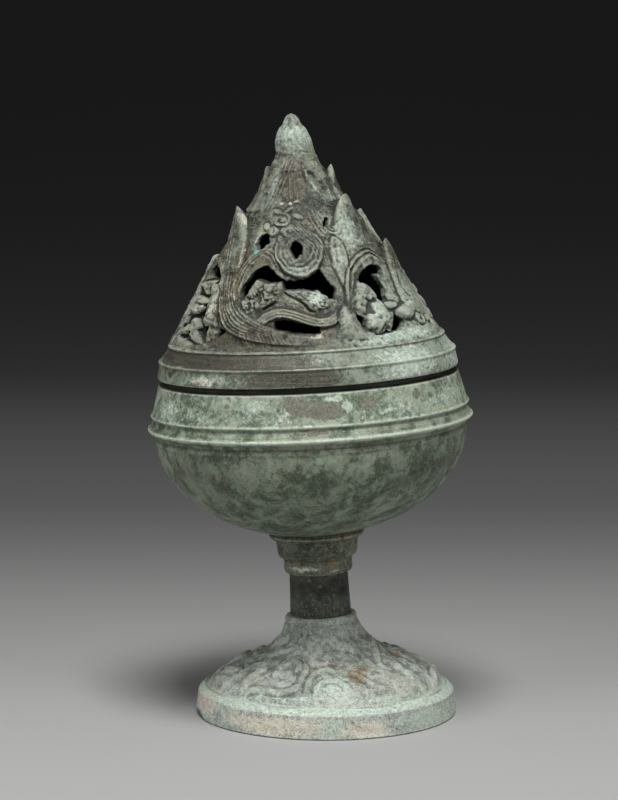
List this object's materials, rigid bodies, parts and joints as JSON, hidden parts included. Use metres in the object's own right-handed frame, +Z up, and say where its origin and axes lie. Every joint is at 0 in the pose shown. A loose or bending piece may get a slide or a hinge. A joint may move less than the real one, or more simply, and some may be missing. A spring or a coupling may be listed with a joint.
{
  "type": "hill censer",
  "caption": "Bronze incense burner: a round stem cup on a flared foot, with a lift-off lid cast as an openwork mountain that lets the smoke out between its peaks.",
  "frame": {"origin": "bottom centre of the object's box: on the table, under the middle of the bowl's flange", "axes": "+Z up, -Y towards the viewer, +X to the viewer's right; everything above the foot leans 3 degrees towards -X"},
  "size_m": [0.1124, 0.1126, 0.207],
  "materials": {
    "foot_bronze": "pale green patina with cream crust",
    "dark_bronze": "dark brown-green patina",
    "bowl_bronze": "grey-green patina with dark stains",
    "lid_bronze": "grey-green and brown patina with mint crust",
    "rivet_iron": "rusted"
  },
  "bodies": {
    "stand": {"foot": "foot_bronze", "stem": "dark_bronze", "collar": "dark_bronze", "bowl": "bowl_bronze", "tie_rivet": "rivet_iron", "rivet_washer": "rivet_iron"},
    "lid": {"lid": "lid_bronze"}
  },
  "joints": [
    {"name": "lid_lift", "type": "slide", "parent": "stand", "child": "lid", "axis": [-0.0523, 0, 0.9986], "range_m": [0, 0.11]}
  ]
}
